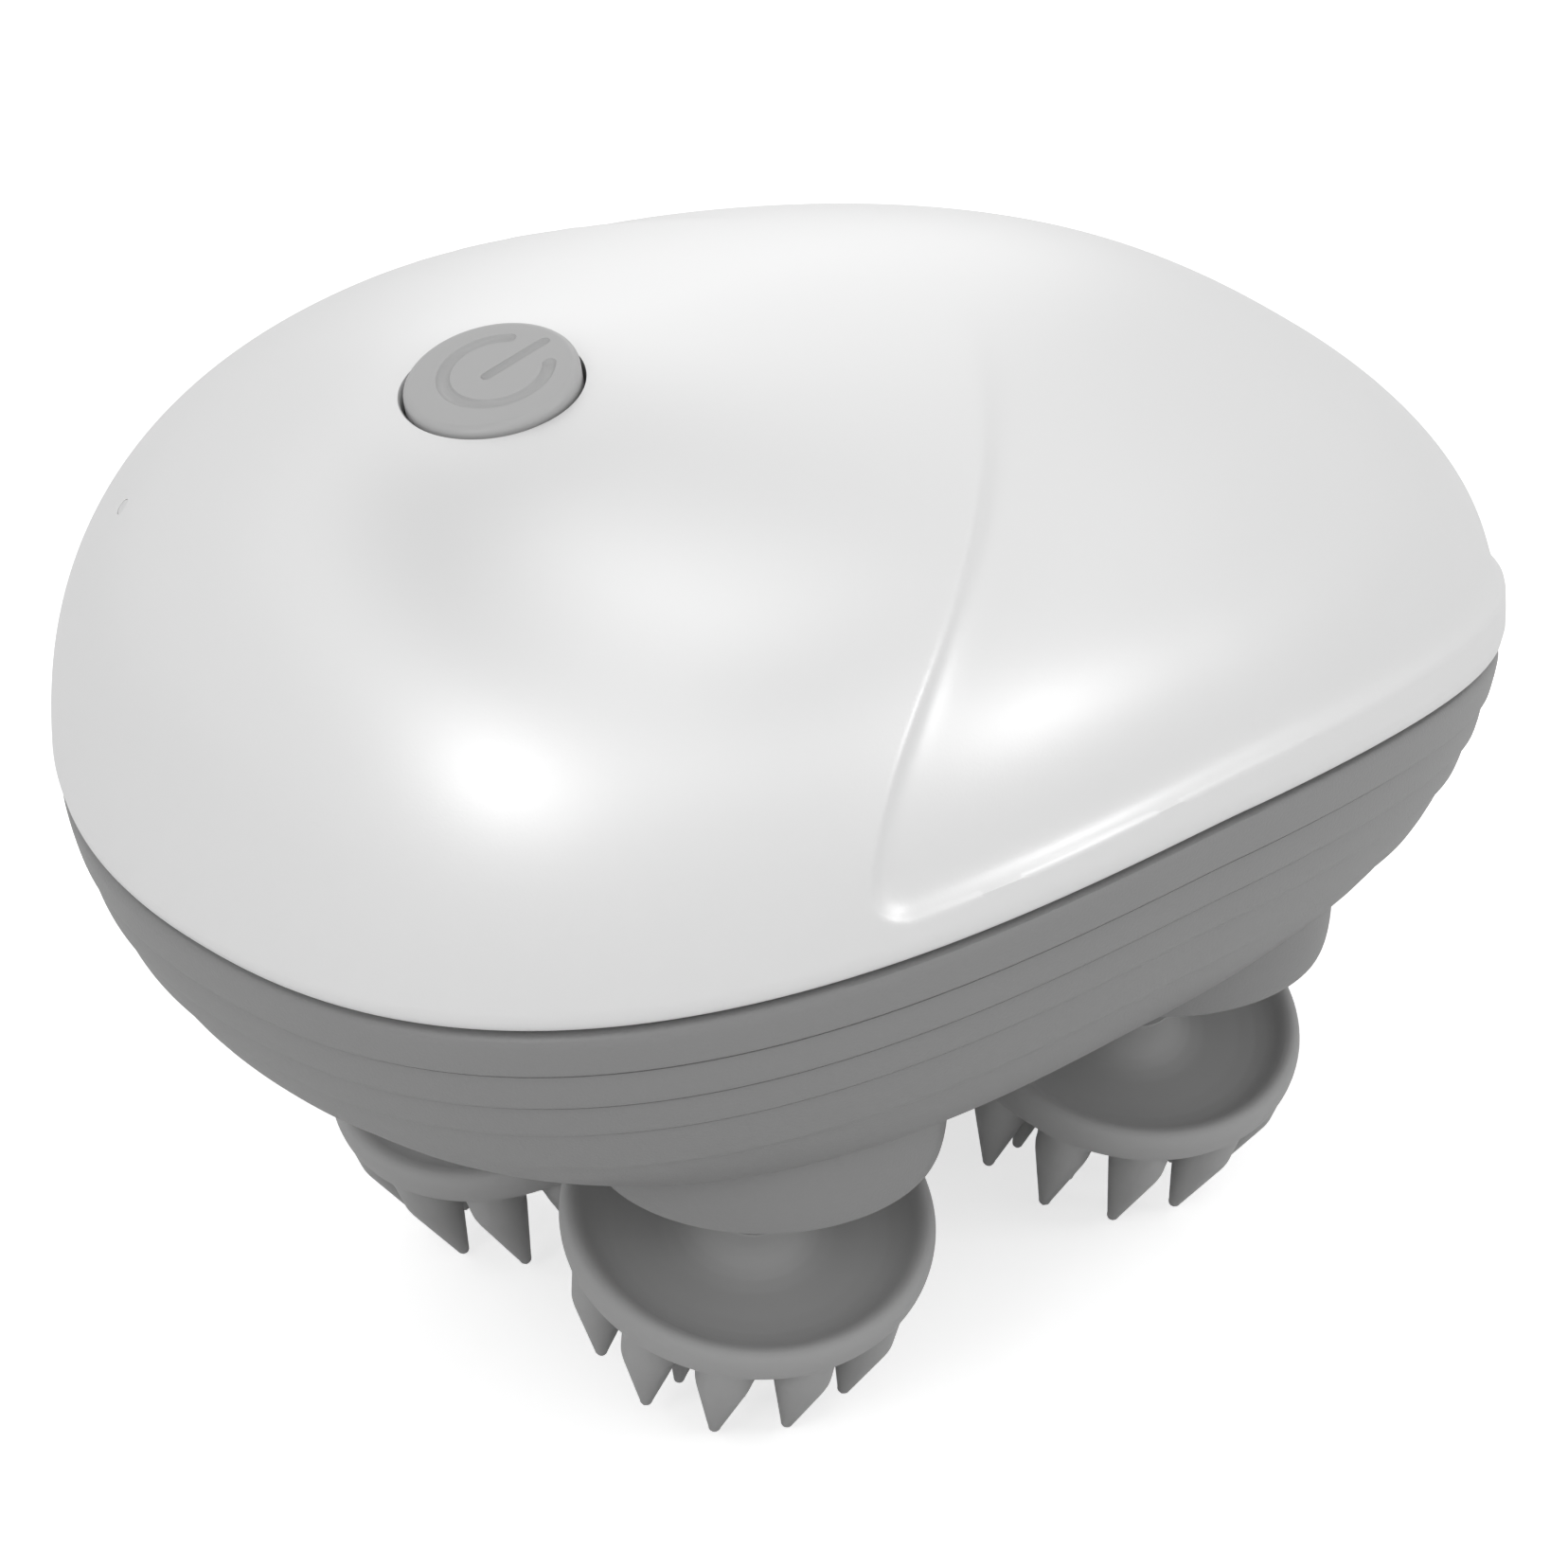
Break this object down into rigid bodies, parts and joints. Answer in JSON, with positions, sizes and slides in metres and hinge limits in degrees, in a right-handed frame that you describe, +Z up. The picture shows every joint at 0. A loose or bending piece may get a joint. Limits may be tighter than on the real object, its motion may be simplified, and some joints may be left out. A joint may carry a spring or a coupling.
{
  "type": "electric scalp massager",
  "caption": "Cordless egg-shaped scalp massager with a power button and leaning silicone claw heads turned together by one geared motor.",
  "frame": {"origin": "on the surface that the claw tips stand on, under the middle of the shell", "axes": "+X along the shell from the broad button end towards the narrow grip end, +Y to the side, +Z up, away from the claws"},
  "size_m": [0.1188, 0.081, 0.082],
  "materials": {
    "pearl_cover": "satin pearl",
    "grey_shell": "fine satin",
    "button_grey": "satin",
    "silicone": "soft matte",
    "black_rubber": "matte",
    "black_plastic": "matte",
    "light_plastic": "matte",
    "acetal": "smooth",
    "steel": "turned",
    "brass": "turned",
    "board": "solder mask",
    "cell_wrap": "shrink wrap over a metal can",
    "lamp": "clear",
    "window": "frosted"
  },
  "bodies": {
    "housing": {"top_cover": "pearl_cover", "base_shell": "grey_shell", "seal_ring": "black_rubber", "indicator_window": "window", "button_gasket": "black_rubber", "switch_body": "steel", "main_board": "board", "indicator_lamp": "lamp", "charging_socket": "black_plastic", "battery_cell": "cell_wrap", "battery_cradle": "black_plastic", "motor": "steel", "motor_gearbox": "brass", "drive_axle": "steel", "gear_deck": "light_plastic", "gear_cover": "light_plastic", "neck_boss_fl": "grey_shell", "neck_boss_fr": "grey_shell", "neck_boss_bl": "grey_shell", "neck_boss_br": "grey_shell", "bush_fl": "brass", "bush_fr": "brass", "bush_bl": "brass", "bush_br": "brass", "shaft_seal_fl": "black_rubber", "shaft_seal_fr": "black_rubber", "shaft_seal_bl": "black_rubber", "shaft_seal_br": "black_rubber", "case_screws": "steel", "gearbox_screws": "steel", "board_screws": "steel", "motor_screws": "steel"},
    "button": {"power_button": "button_grey", "switch_stem": "black_plastic"},
    "drive": {"drive_gear": "acetal"},
    "rotor": {"motor_pinion": "steel"},
    "head_fl": {"output_gear_fl": "acetal", "output_shaft_fl": "steel", "head_hub_fl": "black_plastic", "claw_pad_fl": "silicone"},
    "head_fr": {"output_gear_fr": "acetal", "output_shaft_fr": "steel", "head_hub_fr": "black_plastic", "claw_pad_fr": "silicone"},
    "head_bl": {"output_gear_bl": "acetal", "output_shaft_bl": "steel", "head_hub_bl": "black_plastic", "claw_pad_bl": "silicone"},
    "head_br": {"output_gear_br": "acetal", "output_shaft_br": "steel", "head_hub_br": "black_plastic", "claw_pad_br": "silicone"}
  },
  "joints": [
    {"name": "head_fl_spin", "type": "hinge", "parent": "housing", "child": "head_fl", "pos_m": [-0.0226, -0.0155, 0.04], "axis": [0, 0, 1], "continuous": true},
    {"name": "head_fr_spin", "type": "hinge", "parent": "housing", "child": "head_fr", "pos_m": [0.0174, -0.0155, 0.04], "axis": [0, 0, 1], "continuous": true},
    {"name": "head_bl_spin", "type": "hinge", "parent": "housing", "child": "head_bl", "pos_m": [-0.0226, 0.0155, 0.04], "axis": [0, 0, 1], "continuous": true},
    {"name": "head_br_spin", "type": "hinge", "parent": "housing", "child": "head_br", "pos_m": [0.0174, 0.0155, 0.04], "axis": [0, 0, 1], "continuous": true},
    {"name": "drive_spin", "type": "hinge", "parent": "housing", "child": "drive", "pos_m": [-0.0026, 0, 0.04], "axis": [0, 0, 1], "continuous": true},
    {"name": "rotor_spin", "type": "hinge", "parent": "housing", "child": "rotor", "pos_m": [0.0177, 0, 0.04], "axis": [0, 0, 1], "continuous": true},
    {"name": "button_press", "type": "slide", "parent": "housing", "child": "button", "axis": [0.1893, 0, -0.9819], "range_m": [0, 0.0006], "stiffness_N_per_m": 800, "springref_m": -0.0006}
  ],
  "couplings": [
    {"joint": "head_fr_spin", "follows": "head_fl_spin", "ratio": 1},
    {"joint": "head_bl_spin", "follows": "head_fl_spin", "ratio": 1},
    {"joint": "head_br_spin", "follows": "head_fl_spin", "ratio": 1},
    {"joint": "drive_spin", "follows": "head_fl_spin", "ratio": -1.0714},
    {"joint": "rotor_spin", "follows": "head_fl_spin", "ratio": 4.1071}
  ]
}
